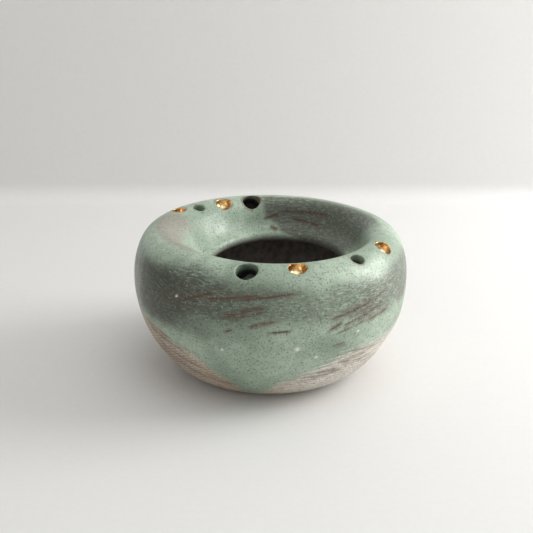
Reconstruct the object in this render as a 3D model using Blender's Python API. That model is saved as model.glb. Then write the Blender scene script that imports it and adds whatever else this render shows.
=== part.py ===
"""A small hand-thrown vase with a sunken mouth, and pierced and gilded holes along its rim.

The clay is one piece. Its wall swells from a flat base to a wide belly, turns over into a broad soft
rim, and falls inside as a funnel to a rolled lip, all at one thickness round an empty hollow. Four
holes are pierced through the rim, and five pits in it are lined with gold.

Metres, +Z up, the origin in the middle of the underside, the front towards -Y. Directions round the
vase are in degrees from +X, counter-clockwise seen from above.
"""

import math

import bmesh
import bpy
from mathutils import Vector

MM = 0.001

# Clay
WALL = 5.2 * MM
BASE_RADIUS = 30.0 * MM
BELLY_RADIUS = 56.0 * MM
BELLY_HEIGHT = 37.4 * MM
CREST_RADIUS = 43.4 * MM
CREST_HEIGHT = 58.5 * MM
MOUTH_RADIUS = 30.4 * MM
LIP_HEIGHT = 43.1 * MM

# How full the curves between those are
FOOT_SLOPE = math.radians(2.0)
FOOT_REACH = 15.2 * MM
BELLY_DROP = 11.9 * MM
SHOULDER_RISE = 0.65
SHOULDER_REACH = 0.64
FUNNEL_REACH = 0.68
LIP_SLOPE = math.radians(16.0)
LIP_REACH = 7.0 * MM

# The top of the hollow, under the crest
HOLLOW_LEAN = 1.4 * MM
HOLLOW_FUNNEL_REACH = 0.3

# The hand-made departures from round: how far each goes, and the direction it faces
BELLY_OVAL = 0.7 * MM
BELLY_OVAL_FACES = -72.0
CREST_OVAL = 1.7 * MM
CREST_OVAL_FACES = -22.0
CREST_TRIANGLE = 0.5 * MM
CREST_TRIANGLE_FACES = 34.0
CREST_WAVE = 0.3 * MM
CREST_WAVE_FACES = -22.0
MOUTH_OVAL = 2.6 * MM
MOUTH_OVAL_FACES = -88.0
MOUTH_SHIFT = 3.8 * MM
MOUTH_SHIFT_FACES = -58.0
LIP_TILT = 1.4 * MM
LIP_TILT_FACES = 30.0

# Holes through the rim: direction, distance from the middle, bore
PIERCED = {
    "front_large": (259.5, 47.6 * MM, 8.4 * MM),
    "front_small": (312.0, 48.2 * MM, 5.4 * MM),
    "back_large": (102.0, 39.2 * MM, 7.8 * MM),
    "back_small": (137.5, 41.8 * MM, 5.2 * MM),
}
HOLE_DEPTH = 7.4 * MM
RIM_SOFTENING = 0.7 * MM

# Pits lined with gold: direction, distance from the middle, width
GILDED = {
    "front_middle": (282.0, 46.6 * MM, 7.0 * MM),
    "front_right": (332.5, 48.9 * MM, 7.2 * MM),
    "front_inner": (319.0, 41.0 * MM, 5.4 * MM),
    "back_middle": (120.5, 40.0 * MM, 7.0 * MM),
    "back_left": (148.5, 45.4 * MM, 6.0 * MM),
}
PIT_DEPTH = 3.9 * MM

# Fineness of the faceted surfaces
ANGLE_STEPS = 64
WALL_STEPS = 10
SHOULDER_STEPS = 8
FUNNEL_STEPS = 8
LIP_STEPS = 5
CUTTER_SIDES = 20
PIT_FLOOR_STEPS = 4

# Finishes
GLAZE_COLOUR = (0.17, 0.23, 0.185, 1.0)
GLAZE_ROUGHNESS = 0.42
GOLD_COLOUR = (0.80, 0.42, 0.11, 1.0)
GOLD_ROUGHNESS = 0.22


def clear_scene():
    for thing in list(bpy.data.objects):
        bpy.data.objects.remove(thing, do_unlink=True)


def make_material(name, colour, roughness, metallic):
    material = bpy.data.materials.new(name)
    material.use_nodes = True
    shader = material.node_tree.nodes["Principled BSDF"]
    shader.inputs["Base Color"].default_value = colour
    shader.inputs["Roughness"].default_value = roughness
    shader.inputs["Metallic"].default_value = metallic
    return material


def lobes(angle, count, size, faces):
    """A departure from round with that many swellings, one of them facing the direction given."""
    return size * math.cos(count * (angle - math.radians(faces)))


def curve(start, leave, arrive, end, steps):
    """Points of a cubic curve, each with the unit normal on the right of its travel."""
    points = []
    for step in range(steps + 1):
        t = step / steps
        s = 1.0 - t
        place = s**3 * start + 3 * s * s * t * leave + 3 * s * t * t * arrive + t**3 * end
        travel = s * s * (leave - start) + 2 * s * t * (arrive - leave) + t * t * (end - arrive)
        points.append((place, Vector((travel.y, -travel.x)).normalized()))
    return points


def lip_points(angle):
    """The middle of the lip's roll, and the spoke from it up to where the funnel meets it."""
    mouth = MOUTH_RADIUS + lobes(angle, 2, MOUTH_OVAL, MOUTH_OVAL_FACES)
    mouth += lobes(angle, 1, MOUTH_SHIFT, MOUTH_SHIFT_FACES)
    height = LIP_HEIGHT + lobes(angle, 1, LIP_TILT, LIP_TILT_FACES)
    spoke = WALL / 2 * Vector((-math.sin(LIP_SLOPE), math.cos(LIP_SLOPE)))
    return Vector((mouth + WALL / 2, height)), spoke


def face(angle, inset, crest_lean, funnel_reach):
    """One side of the clay, from the base over the rim to the lip: the glazed side has no inset."""
    belly = BELLY_RADIUS - inset + lobes(angle, 2, BELLY_OVAL, BELLY_OVAL_FACES)
    crest = CREST_RADIUS + crest_lean + lobes(angle, 2, CREST_OVAL, CREST_OVAL_FACES)
    crest += lobes(angle, 3, CREST_TRIANGLE, CREST_TRIANGLE_FACES)
    crest_height = CREST_HEIGHT - inset + lobes(angle, 3, CREST_WAVE, CREST_WAVE_FACES)
    lip_centre, spoke = lip_points(angle)
    base_edge = Vector((BASE_RADIUS, inset))
    belly_point = Vector((belly, BELLY_HEIGHT))
    crest_point = Vector((crest, crest_height))
    lip_point = lip_centre - spoke if inset else lip_centre + spoke

    foot = (FOOT_REACH - inset / 2) * Vector((math.cos(FOOT_SLOPE), math.sin(FOOT_SLOPE)))
    drop = Vector((0.0, BELLY_DROP))
    rise = Vector((0.0, SHOULDER_RISE * (crest_height - BELLY_HEIGHT)))
    reach = Vector((SHOULDER_REACH * (belly - crest), 0.0))
    inward = Vector((funnel_reach * (crest - lip_point.x), 0.0))
    approach = LIP_REACH * Vector((math.cos(LIP_SLOPE), math.sin(LIP_SLOPE)))
    wall = curve(base_edge, base_edge + foot, belly_point - drop, belly_point, WALL_STEPS)
    shoulder = curve(belly_point, belly_point + rise, crest_point + reach, crest_point, SHOULDER_STEPS)
    funnel = curve(crest_point, crest_point - inward, lip_point + approach, lip_point, FUNNEL_STEPS)
    return wall + shoulder[1:] + funnel[1:]


def glazed_face(angle):
    return face(angle, 0.0, 0.0, FUNNEL_REACH)


def hollow_face(angle):
    return face(angle, WALL, HOLLOW_LEAN, HOLLOW_FUNNEL_REACH)


def whole_section(angle):
    """The closed outline of the clay on one side: glazed face, rolled lip, then the hollow's face."""
    lip_centre, spoke = lip_points(angle)
    across = Vector((-spoke.y, spoke.x))
    section = [place for place, normal in glazed_face(angle)]
    for step in range(1, LIP_STEPS):
        turn = math.pi * step / LIP_STEPS
        section.append(lip_centre + math.cos(turn) * spoke + math.sin(turn) * across)
    return section + [place for place, normal in reversed(hollow_face(angle))]


def rim_point(angle, distance):
    """The place on the glazed rim at that distance from the middle, and its outward normal."""
    outside = glazed_face(angle)[WALL_STEPS:]
    out = Vector((math.cos(angle), math.sin(angle), 0.0))
    up = Vector((0.0, 0.0, 1.0))
    for (far, far_normal), (near, near_normal) in zip(outside, outside[1:]):
        if near.x <= distance <= far.x:
            share = (far.x - distance) / (far.x - near.x)
            place = far.lerp(near, share)
            normal = far_normal.lerp(near_normal, share).normalized()
            return place.x * out + place.y * up, normal.x * out + normal.y * up
    raise ValueError("the rim has no such place")


def add_rings(mesh, rings):
    """Joins rings of equally many points, one after another, by quads."""
    corners = [[mesh.verts.new(point) for point in ring] for ring in rings]
    count = len(corners[0])
    for ring, following in zip(corners, corners[1:]):
        for i in range(count):
            j = (i + 1) % count
            mesh.faces.new((ring[i], ring[j], following[j], following[i]))
    return corners


def close_ring(mesh, ring, middle, upward):
    """Fills a ring with a fan round its middle point, facing up or down."""
    hub = mesh.verts.new(middle)
    for i, corner in enumerate(ring):
        following = ring[(i + 1) % len(ring)]
        mesh.faces.new((hub, corner, following) if upward else (hub, following, corner))


def finish_mesh(mesh, name, material):
    data = bpy.data.meshes.new(name)
    mesh.to_mesh(data)
    mesh.free()
    data.materials.append(material)
    data.shade_smooth()
    thing = bpy.data.objects.new(name, data)
    bpy.context.scene.collection.objects.link(thing)
    return thing


def make_body(material):
    """The vase before its holes are cut: one closed skin round the clay."""
    angles = [2 * math.pi * i / ANGLE_STEPS for i in range(ANGLE_STEPS)]
    sections = [whole_section(angle) for angle in angles]
    rings = []
    for row in range(len(sections[0])):
        rings.append(
            [
                (section[row].x * math.cos(angle), section[row].x * math.sin(angle), section[row].y)
                for angle, section in zip(angles, sections)
            ]
        )
    mesh = bmesh.new()
    corners = add_rings(mesh, rings)
    close_ring(mesh, corners[0], (0.0, 0.0, 0.0), upward=False)
    close_ring(mesh, corners[-1], (0.0, 0.0, WALL), upward=True)
    return finish_mesh(mesh, "vase_body", material)


def make_cutter(name, outline, direction, distance, material):
    """A turned cutter: its outline is radius and height, from bottom to top, over the rim's surface."""
    angle = math.radians(direction)
    place, normal = rim_point(angle, distance)
    turns = [2 * math.pi * i / CUTTER_SIDES for i in range(CUTTER_SIDES)]
    rings = [[(r * math.cos(t), r * math.sin(t), h) for t in turns] for r, h in outline]
    mesh = bmesh.new()
    corners = add_rings(mesh, rings)
    close_ring(mesh, corners[0], (0.0, 0.0, outline[0][1]), upward=False)
    close_ring(mesh, corners[-1], (0.0, 0.0, outline[-1][1]), upward=True)
    cutter = finish_mesh(mesh, name, material)
    cutter.location = place
    cutter.rotation_euler = normal.to_track_quat("Z", "Y").to_euler()
    cutter.hide_render = True
    cutter.display_type = "WIRE"
    return cutter


def mouth_of(radius):
    """The part of a cutter's outline that softens the hole's edge and clears the surface."""
    return [
        (radius, -RIM_SOFTENING),
        (radius + RIM_SOFTENING / 3, 0.0),
        (radius + RIM_SOFTENING, RIM_SOFTENING * 2),
        (radius + RIM_SOFTENING, RIM_SOFTENING * 5),
    ]


def pierced_outline(bore):
    return [(bore / 2, -HOLE_DEPTH)] + mouth_of(bore / 2)


def pit_outline(width):
    """A straight-sided mouth over a rounded floor."""
    radius = width / 2 - RIM_SOFTENING / 3
    floor_rise = PIT_DEPTH - 2 * RIM_SOFTENING
    outline = []
    for step in range(1, PIT_FLOOR_STEPS + 1):
        turn = math.pi / 2 * step / PIT_FLOOR_STEPS
        outline.append((radius * math.sin(turn), -PIT_DEPTH + floor_rise * (1.0 - math.cos(turn))))
    return outline + mouth_of(radius)


def cut(body, cutter):
    boolean = body.modifiers.new(cutter.name, "BOOLEAN")
    boolean.operation = "DIFFERENCE"
    boolean.solver = "EXACT"
    boolean.material_mode = "TRANSFER"
    boolean.object = cutter


def main():
    clear_scene()
    glaze = make_material("celadon_glaze", GLAZE_COLOUR, GLAZE_ROUGHNESS, 0.0)
    gold = make_material("gold_lustre", GOLD_COLOUR, GOLD_ROUGHNESS, 1.0)
    body = make_body(glaze)
    for name, (direction, distance, bore) in PIERCED.items():
        cut(body, make_cutter("pierced_" + name, pierced_outline(bore), direction, distance, glaze))
    for name, (direction, distance, width) in GILDED.items():
        cut(body, make_cutter("gilded_" + name, pit_outline(width), direction, distance, gold))


main()
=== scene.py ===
import math

import bpy
import numpy as np
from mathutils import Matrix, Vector


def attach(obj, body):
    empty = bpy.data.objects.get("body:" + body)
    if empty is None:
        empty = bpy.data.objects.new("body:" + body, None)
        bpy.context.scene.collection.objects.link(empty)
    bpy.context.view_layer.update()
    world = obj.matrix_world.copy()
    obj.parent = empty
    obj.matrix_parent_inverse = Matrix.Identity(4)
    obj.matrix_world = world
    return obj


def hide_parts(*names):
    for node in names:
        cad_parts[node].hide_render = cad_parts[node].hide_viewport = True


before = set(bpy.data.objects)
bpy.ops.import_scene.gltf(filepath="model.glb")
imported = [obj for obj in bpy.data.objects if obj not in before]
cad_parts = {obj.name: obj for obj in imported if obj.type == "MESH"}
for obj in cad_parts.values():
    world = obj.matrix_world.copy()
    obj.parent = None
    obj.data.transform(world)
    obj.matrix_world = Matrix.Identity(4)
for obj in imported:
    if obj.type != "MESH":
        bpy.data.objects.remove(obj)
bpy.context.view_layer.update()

MM = 0.001

# The clay's driving dimensions, in millimetres, as in the solid model
WALL = 5.2
BASE_RADIUS = 30.0
BELLY_RADIUS = 56.0
BELLY_HEIGHT = 37.4
CREST_RADIUS = 43.4
CREST_HEIGHT = 58.5
MOUTH_RADIUS = 30.4
LIP_HEIGHT = 43.1
FOOT_SLOPE = math.radians(2.0)
FOOT_REACH = 15.2
BELLY_DROP = 11.9
SHOULDER_RISE = 0.65
SHOULDER_REACH = 0.64
FUNNEL_REACH = 0.68
LIP_SLOPE = math.radians(16.0)
LIP_REACH = 7.0
HOLLOW_LEAN = 1.4
HOLLOW_FUNNEL_REACH = 0.3

# Departures from round: swellings, size in millimetres, direction in degrees
BELLY_OVAL = (2, 0.7, -72.0)
CREST_OVAL = (2, 1.7, -22.0)
CREST_TRIANGLE = (3, 0.5, 34.0)
CREST_WAVE = (3, 0.3, -22.0)
MOUTH_OVAL = (2, 2.6, -88.0)
MOUTH_SHIFT = (1, 3.8, -58.0)
LIP_TILT = (1, 1.4, 30.0)

# Holes: direction in degrees, distance from the middle and bore or width in millimetres
PIERCED = [(259.5, 47.6, 8.4), (312.0, 48.2, 5.4), (102.0, 39.2, 7.8), (137.5, 41.8, 5.2)]
GILDED = [(282.0, 46.6, 7.0), (332.5, 48.9, 7.2), (319.0, 41.0, 5.4), (120.5, 40.0, 7.0), (148.5, 45.4, 6.0)]
HOLE_DEPTH = 7.4
PIT_DEPTH = 3.9
RIM_SOFTENING = 0.7

# Fineness of the meshes
COLUMNS = 360
WALL_ROWS = 92
SHOULDER_ROWS = 56
FUNNEL_ROWS = 42
LIP_ROWS = 12
HOLLOW_ROWS = 8
CUTTER_SIDES = 48
SOFTENING_PASSES = 7

# Comb strokes on the shoulder: direction, height, length in millimetres, slope in degrees, lines, tone
COMB = [
    (255, 48.9, 26, 7, 3, 0.65), (270, 50.0, 24, 6, 2, 0.4), (241, 47.6, 24, 12, 4, 0.4),
    (261, 43.9, 17, 15, 3, 1.0), (267, 40.1, 10, 14, 2, 0.9), (254, 36.7, 4, 20, 1, 0.7),
    (274, 37.1, 8, 5, 1, 0.7), (303, 42.0, 22, 10, 3, 0.6), (308, 38.8, 20, 12, 4, 0.8),
    (295, 37.1, 7, 15, 2, 0.6), (315, 36.8, 14, 6, 2, 0.7), (226, 44.0, 20, 10, 4, 0.35),
]
# Comb strokes in the bare clay, in the same terms
CLAY_COMB = [
    (221, 22.8, 26, -14, 7, 0.55), (222, 15.0, 30, -12, 6, 0.5), (240, 11.0, 24, -9, 4, 0.5),
    (297, 15.8, 14, 3, 3, 0.8), (290, 13.6, 14, 3, 2, 0.7), (308, 18.6, 16, 6, 4, 0.7),
    (315, 22.4, 18, 8, 3, 0.5), (298, 28.6, 7, 8, 2, 0.6),
]
# Clear single strokes on the shoulder: from direction and height to direction and height
STROKES = [
    (252, 42.0, 269, 46.5), (262, 38.8, 272, 41.3), (253, 36.1, 256, 37.4), (270, 36.8, 278, 37.4),
    (244, 47.2, 266, 50.3), (233, 44.5, 248, 50.0), (256, 48.1, 281, 51.1), (292, 40.1, 314, 43.8),
    (298, 36.8, 318, 40.8), (292, 36.1, 298, 38.1), (308, 36.1, 322, 37.4), (300, 41.0, 322, 45.6),
]
# Clear single strokes in the bare clay, in the same terms
CLAY_STROKES = [
    (290, 16.4, 303, 15.6), (283, 14.8, 297, 14.0), (300, 19.7, 315, 16.4), (294, 28.8, 300, 29.6),
    (304, 23.9, 322, 21.4), (209, 26.4, 232, 22.3), (208, 16.4, 238, 11.7), (201, 19.7, 231, 14.8),
    (226, 12.5, 253, 8.8), (205, 28.6, 226, 25.6), (212, 21.0, 240, 15.6),
]
# Strokes in the dark half of the funnel: from direction and height to direction and height
FUNNEL_STROKES = [(76, 50.4, 50, 49.3), (94, 50.2, 83, 52.3), (90, 47.3, 84, 46.3), (82, 53.2, 45, 54.4)]
# Pale flecks in the glaze: direction, height and size in millimetres
FLECKS = [(280, 29.6, 2.0), (288, 24.8, 1.1), (231, 45.5, 1.0), (305, 33.0, 0.9), (251, 28.0, 0.8)]

# Sizes of the comb's marks, in millimetres
COMB_SPACING = 1.25
STROKE_WIDTH = 0.56
FUNNEL_STROKE_WIDTH = 0.7
GROOVE_DEPTH = 0.13
# Millimetres in one degree along the shoulder, and along the clay below it
SHOULDER_ARC = 0.98
CLAY_ARC = 0.9
# Rise of the comb's fine lines to the right: on the shoulder, in the left clay and in the right clay
SHOULDER_CLIMB = 0.16
LEFT_CLAY_CLIMB = -0.40
RIGHT_CLAY_CLIMB = 0.14
CLAY_PARTING = 262

# Patches of colour: direction of the middle, then degrees from it where the patch is full and where it ends
LEFT_PATCH = (187, 13.0, 20.0)
RIGHT_PATCH = (2, 6.0, 26.0)
THIN_BAND = (280, 14.0, 34.0)
# Darker glaze with painted shade at the left: its middle direction and spread in degrees
LEFT_DARK, LEFT_DARK_SPREAD = 220, 30.0
# Inner edge of the funnel's half with painted shade, as directions at these heights
FUNNEL_EDGE_HEIGHTS = [44, 46, 52, 58.8]
FUNNEL_EDGE = [64, 82, 93, 96]

# Heights of the glaze's edge, and of the dark band's two edges, by direction
CLAY_LINE = [(150, 19), (175, 23), (198, 27), (216, 28.5), (235, 21.5), (245, 15.5), (252, 9), (258, 2),
             (267, 2), (274, 11.5), (282, 15.5), (302, 22.5), (318, 25), (342, 22), (365, 20), (400, 25),
             (440, 15), (475, 22), (510, 19)]
BAND_TOP = [(150, 49), (200, 50), (222, 55), (239, 56), (254, 53.6), (285, 51.6), (326, 51.5),
            (400, 54), (510, 49)]
BAND_LOW = [(150, 33), (197, 33), (222, 34), (243, 40), (288, 40), (306, 38), (331, 37.4),
            (400, 34), (510, 33)]


def lobes(angle, departure):
    count, size, faces = departure
    return size * np.cos(count * (angle - math.radians(faces)))


def pair(r, z):
    r, z = np.broadcast_arrays(np.asarray(r, float), np.asarray(z, float))
    return np.stack([r, z])


def curve(start, leave, arrive, end, rows):
    """Cubic curves for all directions at once, as rows of radius and height."""
    t = np.linspace(0.0, 1.0, rows + 1)[:, None, None]
    s = 1.0 - t
    return s**3 * start + 3 * s * s * t * leave + 3 * s * t * t * arrive + t**3 * end


def lip(angle):
    mouth = MOUTH_RADIUS + lobes(angle, MOUTH_OVAL) + lobes(angle, MOUTH_SHIFT)
    spoke = (-WALL / 2 * math.sin(LIP_SLOPE), WALL / 2 * math.cos(LIP_SLOPE))
    return mouth + WALL / 2, LIP_HEIGHT + lobes(angle, LIP_TILT), spoke


def face(angle, inset, lean, funnel_reach, rows):
    """One side of the clay from the base over the rim to the lip."""
    belly = BELLY_RADIUS - inset + lobes(angle, BELLY_OVAL)
    crest = CREST_RADIUS + lean + lobes(angle, CREST_OVAL) + lobes(angle, CREST_TRIANGLE)
    top = CREST_HEIGHT - inset + lobes(angle, CREST_WAVE)
    lip_r, lip_z, spoke = lip(angle)
    side = -1.0 if inset else 1.0
    end_r, end_z = lip_r + side * spoke[0], lip_z + side * spoke[1]
    foot = FOOT_REACH - inset / 2
    wall = curve(
        pair(BASE_RADIUS + 0 * angle, inset),
        pair(BASE_RADIUS + foot * math.cos(FOOT_SLOPE) + 0 * angle, inset + foot * math.sin(FOOT_SLOPE)),
        pair(belly, BELLY_HEIGHT - BELLY_DROP), pair(belly, BELLY_HEIGHT), rows[0],
    )
    shoulder = curve(
        pair(belly, BELLY_HEIGHT), pair(belly, BELLY_HEIGHT + SHOULDER_RISE * (top - BELLY_HEIGHT)),
        pair(crest + SHOULDER_REACH * (belly - crest), top), pair(crest, top), rows[1],
    )
    funnel = curve(
        pair(crest, top), pair(crest - funnel_reach * (crest - end_r), top),
        pair(end_r + LIP_REACH * math.cos(LIP_SLOPE), end_z + LIP_REACH * math.sin(LIP_SLOPE)),
        pair(end_r, end_z), rows[2],
    )
    return np.concatenate([wall, shoulder[1:], funnel[1:]])


def glazed_face(angle, rows=(WALL_ROWS, SHOULDER_ROWS, FUNNEL_ROWS)):
    return face(angle, 0.0, 0.0, FUNNEL_REACH, rows)


def wrapped(direction):
    """Directions as 150 to 510 degrees, so that the front and the sides are in one run."""
    return (direction - 150.0) % 360.0 + 150.0


def along(line, direction):
    degrees, heights = zip(*line)
    return np.interp(wrapped(direction), degrees, heights)


def soft(value, low, high):
    t = np.clip((value - low) / (high - low), 0.0, 1.0)
    return t * t * (3.0 - 2.0 * t)


def turned(direction, centre):
    """Signed degrees from the centre, between -180 and 180."""
    return (direction - centre + 180.0) % 360.0 - 180.0


def stroke(direction, height, radius, start, end, width):
    """How strongly a brush stroke from start to end, each direction and height, marks each point."""
    middle = (start[0] + end[0]) / 2
    scale = np.maximum(radius, 1.0) * math.pi / 180
    u, v = turned(direction, middle) * scale, height
    u1, u2 = (start[0] - middle) * scale, (end[0] - middle) * scale
    run, rise = u2 - u1, end[1] - start[1]
    length = np.sqrt(run * run + rise * rise) + 1e-9
    share = ((u - u1) * run + (v - start[1]) * rise) / length**2
    off = ((u - u1) * rise - (v - start[1]) * run) / length
    ends = soft(share, -0.08, 0.1) * (1.0 - soft(share, 0.8, 1.08))
    return np.exp(-((off / width) ** 2)) * ends


def comb_lines(patch, seed):
    """The strokes of one pass of the comb, as pairs of direction and height, with their tone."""
    direction, height, length, slope, lines, tone = patch
    rng = np.random.default_rng(seed)
    for i in range(lines):
        shift = (i - (lines - 1) / 2) * COMB_SPACING + rng.normal(0.0, 0.12)
        part = length * rng.uniform(0.6, 1.0) / 2
        slip = rng.normal(0.0, 0.12) * length
        run = math.degrees(part * math.cos(math.radians(slope)) / BELLY_RADIUS)
        rise = part * math.sin(math.radians(slope))
        centre = direction + math.degrees(slip / BELLY_RADIUS)
        middle = height + shift + slip * math.tan(math.radians(slope))
        start, end = (centre - run, middle - rise), (centre + run, middle + rise)
        yield start, end, tone * rng.uniform(0.6, 1.0)


def back_patches(first, last, low, high, slope, lines, tone, seed):
    """Passes of the comb in keeping with the front, on the sides that the front doesn't show."""
    rng = np.random.default_rng(seed)
    return [
        (d, rng.uniform(low, high), rng.uniform(12, 26), slope + rng.normal(0, 4), lines, tone)
        for d in np.arange(first, last, 13.0)
    ]


class Places:
    """Where each point lies on the vase, in millimetres and degrees."""

    def __init__(self, points):
        x, y, self.z = points.T
        self.radius = np.hypot(x, y)
        self.direction = np.degrees(np.arctan2(y, x))
        angle = np.radians(self.direction)
        self.crest = CREST_RADIUS + lobes(angle, CREST_OVAL) + lobes(angle, CREST_TRIANGLE)
        beyond_crest = soft(self.radius, self.crest - 1.5, self.crest + 1.5)
        self.outside = np.maximum(beyond_crest, 1.0 - soft(self.z, 30.0, 36.0))
        self.wavy = 0.8 * np.sin(angle * 11) + 0.4 * np.sin(angle * 23 + 1.3)

    def turned(self, centre):
        return turned(self.direction, centre)

    def beside(self, centre, full, ends):
        """One near the centre's direction, nothing past the degrees where it ends."""
        return soft(-np.abs(self.turned(centre)), -ends, -full)

    def marked(self, start, end, width):
        return stroke(self.direction, self.z, self.radius, start, end, width)


def band_mask(at):
    """The dark brushed band on the shoulder."""
    low, top = along(BAND_LOW, at.direction), along(BAND_TOP, at.direction)
    band = soft(at.z, low - 3 + at.wavy, low + 3 + at.wavy)
    band *= 1.0 - soft(at.z, top - 2.5 + at.wavy, top + 2.5 + at.wavy)
    return band * at.outside * (1.0 - 0.3 * at.beside(*THIN_BAND))


def facet_mask(at):
    """The grey patches at the two sides."""
    facet = np.maximum(at.beside(*LEFT_PATCH), 0.35 * at.beside(*RIGHT_PATCH))
    return facet * at.outside * soft(at.z, 22.0, 34.0) * (1.0 - soft(at.z + at.wavy, 44.0, 53.0))


def left_glaze_and_shade_mask(at):
    """The darkest part of the band, at the left: darker glaze, with painted shade on the side away from the
    light.
    """
    left_glaze_and_shade = np.exp(-((at.turned(LEFT_DARK) / LEFT_DARK_SPREAD) ** 2)) * at.outside
    return left_glaze_and_shade * soft(at.z, 27.0, 36.0) * (1.0 - soft(at.z, 50.0, 57.5))


def fleck_mask(at):
    fleck = np.zeros_like(at.z)
    for direction, height, size in FLECKS:
        off = np.hypot(at.turned(direction) * at.radius * math.pi / 180, at.z - height)
        fleck = np.maximum(fleck, 1.0 - soft(off, size * 0.3, size * 0.6))
    return fleck


def funnel_shade_mask(at):
    """Painted shade on the half of the funnel that faces away from the light."""
    edge = np.interp(at.z, FUNNEL_EDGE_HEIGHTS, FUNNEL_EDGE)
    return soft(at.direction - edge, 3.0, -3.0) * soft(at.direction, -8.0, 12.0) * (1.0 - at.outside)


def mauve_mask(at):
    """The pinkish grey patch on the left of the rim."""
    across = at.turned(190)
    mauve = soft(across, -42, -28) * (1.0 - soft(across, 30, 44))
    return mauve * soft(at.z, 50.0, 56.0) * (1.0 - soft(at.radius, at.crest, at.crest + 3))


def waves(phase):
    return 0.5 + 0.5 * np.sin(2 * math.pi * phase)


def clay_masks(at):
    """The bare clay with its combed edge, its paler right side, and the comb's fine lines in it."""
    right = at.turned(270)
    pale = soft(right, -6.0, 26.0) * (1.0 - soft(right, 100.0, 170.0))
    across = at.turned(CLAY_PARTING)
    joined = 1.0 - soft(np.abs(across), 140.0, 172.0)
    climb = np.where(across < 0, LEFT_CLAY_CLIMB, RIGHT_CLAY_CLIMB)
    reach = at.z - CLAY_ARC * (BELLY_RADIUS - at.radius)
    phase = (reach - climb * across * CLAY_ARC) / COMB_SPACING
    ragged = 1.5 * np.sin(2 * math.pi * phase / 2.3) + 1.2 * np.sin(2 * math.pi * phase / 1.37 + 2.0)
    ragged *= (1.0 + 0.7 * pale) * joined
    feather = 1.6 + 5.5 * pale
    above_edge = at.z - along(CLAY_LINE, at.direction) - at.wavy - ragged
    clay = 1.0 - soft(above_edge / feather, -1.0, 1.0)
    clay = np.maximum(clay, 0.5 * (1.0 - soft(at.z, 2.0, 9.0))) * at.outside
    lines = waves(phase) * joined * soft(at.radius, 31.0, 36.0)
    return clay, pale, lines * clay


def comb_marks(at):
    """How strongly the strokes show, first as colour and then as grooves."""
    streak = np.zeros_like(at.z)
    groove = np.zeros_like(at.z)
    shoulder = COMB + back_patches(338, 505, 38, 50, 10, 4, 0.7, 11)
    clay = CLAY_COMB + back_patches(330, 560, 8, 22, -8, 5, 0.6, 12)
    for patches, first_seed, strength in ((shoulder, 0, 1.0), (clay, 100, 0.8)):
        for seed, patch in enumerate(patches, first_seed):
            for start, end, tone in comb_lines(patch, seed):
                mark = at.marked(start, end, STROKE_WIDTH) * at.outside
                streak = np.maximum(streak, mark * tone * strength)
                groove = np.maximum(groove, mark)
    for strokes, strength in ((STROKES, 1.0), (CLAY_STROKES, 0.7)):
        for d1, z1, d2, z2 in strokes:
            mark = at.marked((d1, z1), (d2, z2), STROKE_WIDTH * 0.9) * at.outside
            streak = np.maximum(streak, mark * strength)
            groove = np.maximum(groove, mark)
    for d1, z1, d2, z2 in FUNNEL_STROKES:
        mark = at.marked((d1, z1), (d2, z2), FUNNEL_STROKE_WIDTH) * (1.0 - at.outside)
        streak = np.maximum(streak, mark)
        groove = np.maximum(groove, mark * 0.5)
    return streak, groove


def masks(points):
    """Where each finish lies, from the places on the clay, in millimetres."""
    at = Places(points)
    # dark holds the painted shade on the funnel's half turned from the light
    band, facet, dark = band_mask(at), facet_mask(at), funnel_shade_mask(at)
    clay, pale_clay, clay_lines = clay_masks(at)
    streak, groove = comb_marks(at)
    shoulder_lines = waves((at.z - SHOULDER_CLIMB * at.turned(270) * SHOULDER_ARC) / COMB_SPACING)
    groove = np.maximum(groove, 0.45 * shoulder_lines * np.maximum(band, dark))
    groove = np.maximum(groove, 0.7 * clay_lines)
    groove = np.maximum(groove, 0.5 * waves(at.z / COMB_SPACING) * facet)
    return {
        "band": band, "dark": dark, "clay": clay, "clay_lines": clay_lines, "streak": streak,
        "mauve": mauve_mask(at), "facet": facet, "groove": groove, "pale_clay": pale_clay,
        "left_glaze_and_shade": left_glaze_and_shade_mask(at), "fleck": fleck_mask(at),
    }


def hollow_mask(points):
    """One on the hollow's face and the lip's underside, nothing on the glazed side."""
    x, y, z = points.T
    radius, angle = np.hypot(x, y), np.arctan2(y, x)
    lip_r, lip_z, spoke = lip(angle)
    section = glazed_face(angle_grid())
    columns = np.round(wrapped(np.degrees(angle)) % 360.0).astype(int) % COLUMNS
    gap = np.full(len(z), 1e9)
    for row in range(0, len(section), 2):
        r, h = section[row][0][columns], section[row][1][columns]
        gap = np.minimum(gap, np.hypot(radius - r, z - h))
    near_lip = np.hypot(radius - lip_r, z - lip_z) < WALL / 2 + 0.4
    under = soft(lip_z + 0.6 - z, 0.0, 2.2)
    deep = soft(gap, 2.4, 4.4) * (z > 2.0) * (1.0 - near_lip)
    return np.maximum(deep, under * near_lip)


def angle_grid():
    return np.radians(np.arange(COLUMNS) * 360.0 / COLUMNS)


def mesh_from_grid(name, grid, low_middle, high_middle):
    """A closed mesh from rings of points (rows, columns, 3), with a fan at each end."""
    rows, columns = grid.shape[:2]
    points = np.concatenate([grid.reshape(-1, 3), [low_middle, high_middle]])
    i, j = np.meshgrid(np.arange(rows - 1), np.arange(columns), indexing="ij")
    k = (j + 1) % columns
    quads = np.stack([i * columns + j, i * columns + k, (i + 1) * columns + k, (i + 1) * columns + j], -1)
    last = (rows - 1) * columns
    faces = quads.reshape(-1, 4).tolist()
    for a in range(columns):
        b = (a + 1) % columns
        faces.append((rows * columns, b, a))
        faces.append((rows * columns + 1, last + a, last + b))
    mesh = bpy.data.meshes.new(name)
    mesh.from_pydata((points * MM).tolist(), [], faces)
    mesh.shade_smooth()
    return mesh


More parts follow.
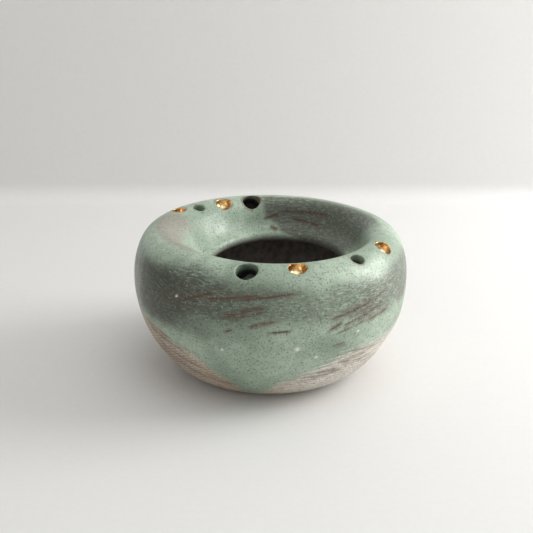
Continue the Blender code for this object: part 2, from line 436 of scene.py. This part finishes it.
def add_object(name, mesh):
    thing = bpy.data.objects.new(name, mesh)
    bpy.context.scene.collection.objects.link(thing)
    return thing


def place(angle, section):
    """Rows of radius and height, one column for each direction, as points in space."""
    r, z = section[:, 0], section[:, 1]
    return np.stack([r * np.cos(angle), r * np.sin(angle), z], -1)


def body_grid():
    angle = angle_grid()
    outside = place(angle, glazed_face(angle))
    lip_r, lip_z, spoke = lip(angle)
    turn = np.linspace(0.0, math.pi, LIP_ROWS + 1)[1:-1, None]
    roll = np.stack([
        lip_r + np.cos(turn) * spoke[0] - np.sin(turn) * spoke[1],
        lip_z + np.cos(turn) * spoke[1] + np.sin(turn) * spoke[0],
    ], 1)
    hollow = face(angle, WALL, HOLLOW_LEAN, HOLLOW_FUNNEL_REACH, (HOLLOW_ROWS + 4, HOLLOW_ROWS, HOLLOW_ROWS))
    across = np.roll(outside, -1, 1) - np.roll(outside, 1, 1)
    up = np.gradient(outside, axis=0)
    normal = np.cross(across, up)
    normal /= np.linalg.norm(normal, axis=-1, keepdims=True)
    flat = outside.reshape(-1, 3)
    groove = masks(flat)["groove"].reshape(outside.shape[:2])
    settled = soft(outside[..., 2], 0.2, 3.0)
    hand = 0.10 * np.sin(outside[..., 2] / 3.1 + 2 * angle) + 0.08 * np.sin(5 * angle + outside[..., 2] / 7.0)
    outside = outside + normal * (settled * (hand - 0.1 - GROOVE_DEPTH * groove))[..., None]
    return np.concatenate([outside, place(angle, roll), place(angle, hollow[::-1])])


def rim_place(direction, distance):
    """The place on the glazed rim at that distance from the middle, and its outward normal."""
    angle = np.array([math.radians(direction)])
    section = glazed_face(angle)[WALL_ROWS:, :, 0]
    row = int(np.argmin(np.abs(section[:, 0] - distance)))
    travel = section[min(row + 1, len(section) - 1)] - section[row - 1]
    out = np.array([math.cos(angle[0]), math.sin(angle[0]), 0.0])
    up = np.array([0.0, 0.0, 1.0])
    normal = travel[1] * out - travel[0] * up
    return section[row, 0] * out + section[row, 1] * up, normal / np.linalg.norm(normal)


def cutter(name, outline, direction, distance, material):
    centre, normal = rim_place(direction, distance)
    turn = np.arange(CUTTER_SIDES) * 2 * math.pi / CUTTER_SIDES
    outline = np.array(outline)
    grid = np.stack([
        outline[:, :1] * np.cos(turn), outline[:, :1] * np.sin(turn), outline[:, 1:] + 0 * turn
    ], -1)
    mesh = mesh_from_grid(name, grid, (0, 0, outline[0][1]), (0, 0, outline[-1][1]))
    mesh.materials.append(material)
    thing = add_object(name, mesh)
    thing.location = Vector(centre * MM)
    thing.rotation_euler = Vector(normal).to_track_quat("Z", "Y").to_euler()
    return thing


def mouth_outline(radius):
    """The softened mouth of a hole, from its straight side up past the surface."""
    turn = np.linspace(0.0, math.pi / 2, 6)
    flare = [(radius + RIM_SOFTENING * (1 - math.cos(t)), RIM_SOFTENING * (math.sin(t) - 1.0)) for t in turn]
    return flare + [(radius + RIM_SOFTENING, 3.5)]


def pierced_outline(bore):
    radius = bore / 2
    rows = np.arange(-HOLE_DEPTH, -RIM_SOFTENING - 0.3, 0.45)
    return [(radius, h) for h in rows] + mouth_outline(radius)


def pit_outline(width):
    radius = width / 2 - RIM_SOFTENING / 3
    floor_rise = PIT_DEPTH - 2 * RIM_SOFTENING
    turn = np.linspace(0.0, math.pi / 2, 10)[1:]
    floor = [(radius * math.sin(t), -PIT_DEPTH + floor_rise * (1 - math.cos(t))) for t in turn]
    return floor + [(radius, -RIM_SOFTENING * 1.5)] + mouth_outline(radius)


def cut_holes(body, glaze, gold):
    groups = [("pierced", PIERCED, pierced_outline, glaze), ("gilded", GILDED, pit_outline, gold)]
    cutters = []
    for kind, holes, outline, material in groups:
        for i, (direction, distance, width) in enumerate(holes):
            tool = cutter(f"{kind}_{i}", outline(width), direction, distance, material)
            boolean = body.modifiers.new(tool.name, "BOOLEAN")
            boolean.operation = "DIFFERENCE"
            boolean.solver = "EXACT"
            boolean.material_mode = "TRANSFER"
            boolean.object = tool
            cutters.append(tool)
    graph = bpy.context.evaluated_depsgraph_get()
    mesh = bpy.data.meshes.new_from_object(body.evaluated_get(graph))
    body.modifiers.clear()
    body.data = mesh
    for tool in cutters:
        bpy.data.objects.remove(tool, do_unlink=True)


def read_points(mesh):
    flat = np.empty(len(mesh.vertices) * 3)
    mesh.vertices.foreach_get("co", flat)
    return flat.reshape(-1, 3) / MM


def near_rims(points):
    """How near each point is to the edge of a hole's mouth, from one at the edge to nothing."""
    near = np.zeros(len(points))
    for direction, distance, width in PIERCED + GILDED:
        centre, normal = rim_place(direction, distance)
        offset = points - centre
        height = offset @ normal
        off_axis = np.linalg.norm(offset - height[:, None] * normal, axis=1)
        gap = np.abs(off_axis - width / 2)
        near = np.maximum(near, (1.0 - soft(gap, 0.5, 1.8)) * (np.abs(height) < 2.6))
    return near


def pierced_hole_shade_mask(points):
    """One in the lower part of each pierced hole, where painted shade makes it dark."""
    deep = np.zeros(len(points))
    for direction, distance, bore in PIERCED:
        centre, normal = rim_place(direction, distance)
        offset = points - centre
        height = offset @ normal
        off_axis = np.linalg.norm(offset - height[:, None] * normal, axis=1)
        inside = (off_axis < bore / 2 + 0.25) * (height > -WALL - 3.0)
        deep = np.maximum(deep, inside * soft(-height, 2.2, 4.6))
    return deep


def soften_rims(mesh):
    """Rounds the holes' edges by relaxing the points beside them."""
    points = read_points(mesh)
    near = near_rims(points)
    ends = np.empty(len(mesh.edges) * 2, dtype=int)
    mesh.edges.foreach_get("vertices", ends)
    ends = ends.reshape(-1, 2)
    ends = ends[(near[ends] > 0).any(axis=1)]
    for _ in range(SOFTENING_PASSES):
        total = np.zeros_like(points)
        count = np.zeros(len(points))
        for a, b in ((0, 1), (1, 0)):
            np.add.at(total, ends[:, a], points[ends[:, b]])
            np.add.at(count, ends[:, a], 1.0)
        mean = total / np.maximum(count, 1.0)[:, None]
        share = 0.5 * near * (count > 2)
        points += share[:, None] * (mean - points)
    mesh.vertices.foreach_set("co", (points * MM).ravel())
    mesh.update()


def store(mesh, name, values):
    layer = mesh.attributes.new(name, "FLOAT", "POINT")
    layer.data.foreach_set("value", np.clip(values, 0.0, 1.0).astype(np.float32))


class Nodes:
    """Short names for making a material's nodes."""

    def __init__(self, name):
        self.material = bpy.data.materials.new(name)
        self.material.use_nodes = True
        self.tree = self.material.node_tree
        self.shader = self.tree.nodes["Principled BSDF"]
        self.place = self.make("ShaderNodeTexCoord").outputs["Object"]

    def make(self, kind, **settings):
        node = self.tree.nodes.new(kind)
        for key, value in settings.items():
            setattr(node, key, value)
        return node

    def link(self, source, target):
        self.tree.links.new(source, target)

    def noise(self, size, detail=2.0, stretch=(1, 1, 1), roughness=0.5):
        """Noise whose blobs are about size metres across."""
        mapping = self.make("ShaderNodeMapping")
        mapping.inputs["Scale"].default_value = stretch
        self.link(self.place, mapping.inputs["Vector"])
        noise = self.make("ShaderNodeTexNoise")
        noise.inputs["Scale"].default_value = 0.5 / size
        noise.inputs["Detail"].default_value = detail
        noise.inputs["Roughness"].default_value = roughness
        self.link(mapping.outputs["Vector"], noise.inputs["Vector"])
        return noise.outputs["Fac"]

    def ramp(self, value, low, high, start=0.0, end=1.0):
        node = self.make("ShaderNodeMapRange", clamp=True)
        node.interpolation_type = "SMOOTHSTEP"
        for key, number in (("From Min", low), ("From Max", high), ("To Min", start), ("To Max", end)):
            node.inputs[key].default_value = number
        self.link(value, node.inputs["Value"])
        return node.outputs["Result"]

    def math(self, operation, first, second):
        node = self.make("ShaderNodeMath", operation=operation)
        for i, value in enumerate((first, second)):
            if isinstance(value, (int, float)):
                node.inputs[i].default_value = value
            else:
                self.link(value, node.inputs[i])
        return node.outputs[0]

    def mask(self, name):
        return self.make("ShaderNodeAttribute", attribute_name=name).outputs["Fac"]

    def mix(self, share, first, second):
        node = self.make("ShaderNodeMix", data_type="RGBA")
        self.link(share, node.inputs[0])
        for i, colour in ((6, first), (7, second)):
            if isinstance(colour, tuple):
                node.inputs[i].default_value = (*colour, 1.0)
            else:
                self.link(colour, node.inputs[i])
        return node.outputs[2]

    def bump(self, height, strength, distance, before=None):
        node = self.make("ShaderNodeBump")
        node.inputs["Strength"].default_value = strength
        node.inputs["Distance"].default_value = distance
        self.link(height, node.inputs["Height"])
        if before is not None:
            self.link(before, node.inputs["Normal"])
        return node.outputs["Normal"]


CELADON = (0.43, 0.53, 0.42)
CELADON_DEEP = (0.245, 0.325, 0.245)
BAND_GREY = (0.066, 0.068, 0.050)
# Darker glaze with painted shade, for the left of the band
LEFT_GLAZE_AND_SHADE = (0.040, 0.045, 0.028)
# Painted shade for the funnel's half that faces away from the light
FUNNEL_PAINTED_SHADE = (0.070, 0.072, 0.056)
RUST = (0.085, 0.034, 0.017)
CLAY = (0.52, 0.40, 0.28)
CLAY_PALE = (0.86, 0.84, 0.78)
CLAY_LINE_TONE = (0.22, 0.15, 0.10)
MAUVE = (0.28, 0.25, 0.21)
FACET_GREY = (0.34, 0.335, 0.295)
HOLLOW = (0.13, 0.108, 0.10)
HOLLOW_PALE = (0.24, 0.205, 0.19)
# Painted shade inside the pierced holes
HOLE_PAINTED_SHADE = (0.012, 0.012, 0.010)
RIM_BROWN = (0.13, 0.055, 0.028)
SPECK_DARK = (0.040, 0.045, 0.032)
SPECK_PALE = (0.50, 0.53, 0.44)
FLECK_PALE = (0.80, 0.80, 0.74)
GOLD_DEEP = (0.42, 0.22, 0.07)
GOLD_BRIGHT = (0.88, 0.68, 0.40)
FLOOR_TONES = ((0.70, 0.695, 0.685), (0.74, 0.735, 0.725))


def make_glaze():
    n = Nodes("celadon_glaze")
    broad = n.noise(0.011, 3.0)
    mottle = n.noise(0.0016, 4.0, roughness=0.65)
    fine = n.noise(0.00034, 2.0)
    brushed = n.noise(0.0011, 3.0, stretch=(1, 1, 4.5))
    green = n.mix(n.ramp(broad, 0.35, 0.66), CELADON_DEEP, CELADON)
    green = n.mix(n.ramp(mottle, 0.34, 0.70, 0.0, 0.55), green, CELADON_DEEP)
    grey = n.math("MULTIPLY", n.mask("band"), n.ramp(brushed, 0.32, 0.60, 0.35, 1.0))
    colour = n.mix(n.math("MULTIPLY", grey, 0.85), green, BAND_GREY)
    shade = n.math("MULTIPLY", n.mask("dark"), n.ramp(brushed, 0.28, 0.60, 0.6, 1.0))
    # Painted shade on the funnel's half that faces away from the light
    colour = n.mix(n.math("MULTIPLY", shade, 0.9), colour, FUNNEL_PAINTED_SHADE)
    colour = n.mix(n.math("MULTIPLY", n.mask("mauve"), 0.8), colour, MAUVE)
    # Darker glaze and painted shade on the left, away from the light
    darkened = n.math("MULTIPLY", n.mask("left_glaze_and_shade"), n.ramp(brushed, 0.20, 0.62, 0.72, 0.95))
    colour = n.mix(darkened, colour, LEFT_GLAZE_AND_SHADE)
    greyed = n.math("MULTIPLY", n.mask("facet"), n.ramp(brushed, 0.25, 0.6, 0.85, 0.55))
    colour = n.mix(greyed, colour, FACET_GREY)
    clay_share = n.math("MULTIPLY", n.ramp(broad, 0.35, 0.65, 0.3, 0.7), 0.5)
    clay = n.mix(n.math("ADD", clay_share, n.math("MULTIPLY", n.mask("pale_clay"), 0.6)), CLAY, CLAY_PALE)
    clay_edge = n.ramp(n.math("ADD", n.mask("clay"), n.math("MULTIPLY", mottle, 0.5)), 0.55, 0.95)
    lined = n.math("MULTIPLY", n.mask("clay_lines"), n.ramp(mottle, 0.3, 0.6, 0.4, 0.75))
    clay = n.mix(lined, clay, CLAY_LINE_TONE)
    colour = n.mix(clay_edge, colour, clay)
    rust = n.math("MULTIPLY", n.mask("streak"), n.ramp(mottle, 0.30, 0.55, 0.55, 1.0))
    colour = n.mix(rust, colour, RUST)
    dark = n.ramp(fine, 0.54, 0.67, 0.0, 0.55)
    colour = n.mix(dark, colour, SPECK_DARK)
    pale = n.ramp(fine, 0.34, 0.28, 0.0, 0.5)
    colour = n.mix(pale, colour, SPECK_PALE)
    colour = n.mix(n.mask("fleck"), colour, FLECK_PALE)
    edge = n.math("MULTIPLY", n.mask("rim"), n.ramp(broad, 0.44, 0.60, 0.05, 0.7))
    colour = n.mix(edge, colour, RIM_BROWN)
    hollow = n.mix(n.ramp(mottle, 0.35, 0.65), HOLLOW, HOLLOW_PALE)
    colour = n.mix(n.mask("hollow"), colour, hollow)
    # Painted shade in the lower part of each pierced hole
    colour = n.mix(n.mask("deep"), colour, HOLE_PAINTED_SHADE)
    n.link(colour, n.shader.inputs["Base Color"])
    rough = n.ramp(mottle, 0.3, 0.7, 0.32, 0.44)
    bare = n.math("MAXIMUM", clay_edge, n.mask("hollow"))
    rough = n.math("ADD", rough, n.math("MULTIPLY", bare, 0.32))
    n.link(rough, n.shader.inputs["Roughness"])
    n.shader.inputs["Specular IOR Level"].default_value = 0.55
    relief = n.bump(mottle, 0.22, 0.00025)
    relief = n.bump(fine, 0.25, 0.00012, relief)
    relief = n.bump(brushed, 0.18, 0.0002, relief)
    n.link(relief, n.shader.inputs["Normal"])
    return n.material


def make_gold():
    n = Nodes("gold_lustre")
    pooled = n.noise(0.0016, 3.0)
    grain = n.noise(0.0005, 2.0)
    colour = n.mix(n.ramp(pooled, 0.35, 0.65), GOLD_DEEP, GOLD_BRIGHT)
    n.link(colour, n.shader.inputs["Base Color"])
    n.shader.inputs["Metallic"].default_value = 1.0
    n.link(n.ramp(pooled, 0.35, 0.7, 0.16, 0.34), n.shader.inputs["Roughness"])
    relief = n.bump(pooled, 0.25, 0.0004)
    n.link(n.bump(grain, 0.3, 0.0002, relief), n.shader.inputs["Normal"])
    return n.material


def make_body():
    glaze, gold = make_glaze(), make_gold()
    mesh = mesh_from_grid("vase", body_grid(), (0, 0, 0), (0, 0, WALL))
    mesh.materials.append(glaze)
    mesh.materials.append(gold)
    body = add_object("vase", mesh)
    cut_holes(body, glaze, gold)
    soften_rims(body.data)
    points = read_points(body.data)
    for name, values in masks(points).items():
        store(body.data, name, values)
    store(body.data, "rim", near_rims(points) ** 6)
    store(body.data, "hollow", hollow_mask(points))
    # The attribute deep carries the painted shade inside the pierced holes
    store(body.data, "deep", pierced_hole_shade_mask(points))
    body.data.shade_smooth()
    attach(body, "root")
    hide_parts("vase_body")
    return body


def make_stage():
    """A pale floor that turns up into a plain wall behind."""
    half_width, front, back, height, bend = 3.0, -1.6, 0.23, 2.0, 0.012
    profile = [(front, 0.0), (back - bend, 0.0)]
    for t in np.linspace(0.0, math.pi / 2, 9)[1:]:
        profile.append((back - bend + bend * math.sin(t), bend - bend * math.cos(t)))
    profile.append((back, height))
    points = [(x, y, z) for y, z in profile for x in (-half_width, half_width)]
    faces = [(2 * i, 2 * i + 1, 2 * i + 3, 2 * i + 2) for i in range(len(profile) - 1)]
    mesh = bpy.data.meshes.new("floor")
    mesh.from_pydata(points, [], faces)
    mesh.shade_smooth()
    n = Nodes("pale_floor")
    n.link(n.mix(n.noise(0.0012, 3.0), *FLOOR_TONES), n.shader.inputs["Base Color"])
    n.shader.inputs["Roughness"].default_value = 0.6
    n.link(n.bump(n.noise(0.0008, 2.0), 0.1, 0.0002), n.shader.inputs["Normal"])
    mesh.materials.append(n.material)
    floor = add_object("floor", mesh)


def add_light(name, place_m, aim, size, power, colour):
    data = bpy.data.lights.new(name, "AREA")
    data.shape = "RECTANGLE"
    data.size, data.size_y = size
    data.energy = power
    data.color = colour
    lamp = add_object(name, data)
    lamp.location = place_m
    lamp.rotation_euler = (Vector(aim) - Vector(place_m)).to_track_quat("-Z", "Y").to_euler()


# Lights: place and aim in metres, width and height in metres, power in watts, colour
WINDOW = ((0.60, 0.10, 0.30), (0.0, 0.0, 0.03), (0.40, 0.45), 4.9, (1.0, 0.99, 0.975))
CEILING = ((0.25, -0.2, 1.1), (0.0, 0.0, 0.0), (1.0, 1.0), 4.0, (1.0, 0.995, 0.98))
SURROUNDINGS = (1.0, 1.0, 0.985, 1.0)
SURROUNDINGS_STRENGTH = 0.54


def light_scene():
    add_light("window", *WINDOW)
    add_light("ceiling", *CEILING)
    world = bpy.data.worlds.new("studio")
    world.use_nodes = True
    background = world.node_tree.nodes["Background"]
    background.inputs["Color"].default_value = SURROUNDINGS
    background.inputs["Strength"].default_value = SURROUNDINGS_STRENGTH
    bpy.context.scene.world = world
    bpy.context.scene.view_settings.view_transform = "Standard"


CAMERA_PLACE = (-0.0015, -0.3745, 0.1816)
CAMERA_TILT = 20.57
FOCAL_PIXELS = 977.6
PICTURE_PIXELS = 533.0


def add_camera():
    data = bpy.data.cameras.new("camera")
    data.sensor_width = 36.0
    data.lens = data.sensor_width * FOCAL_PIXELS / PICTURE_PIXELS
    data.clip_start = 0.01
    camera = add_object("camera", data)
    camera.location = CAMERA_PLACE
    camera.rotation_euler = (math.radians(90.0 - CAMERA_TILT), 0.0, 0.0)
    bpy.context.scene.camera = camera


add_camera()
make_stage()
light_scene()
make_body()
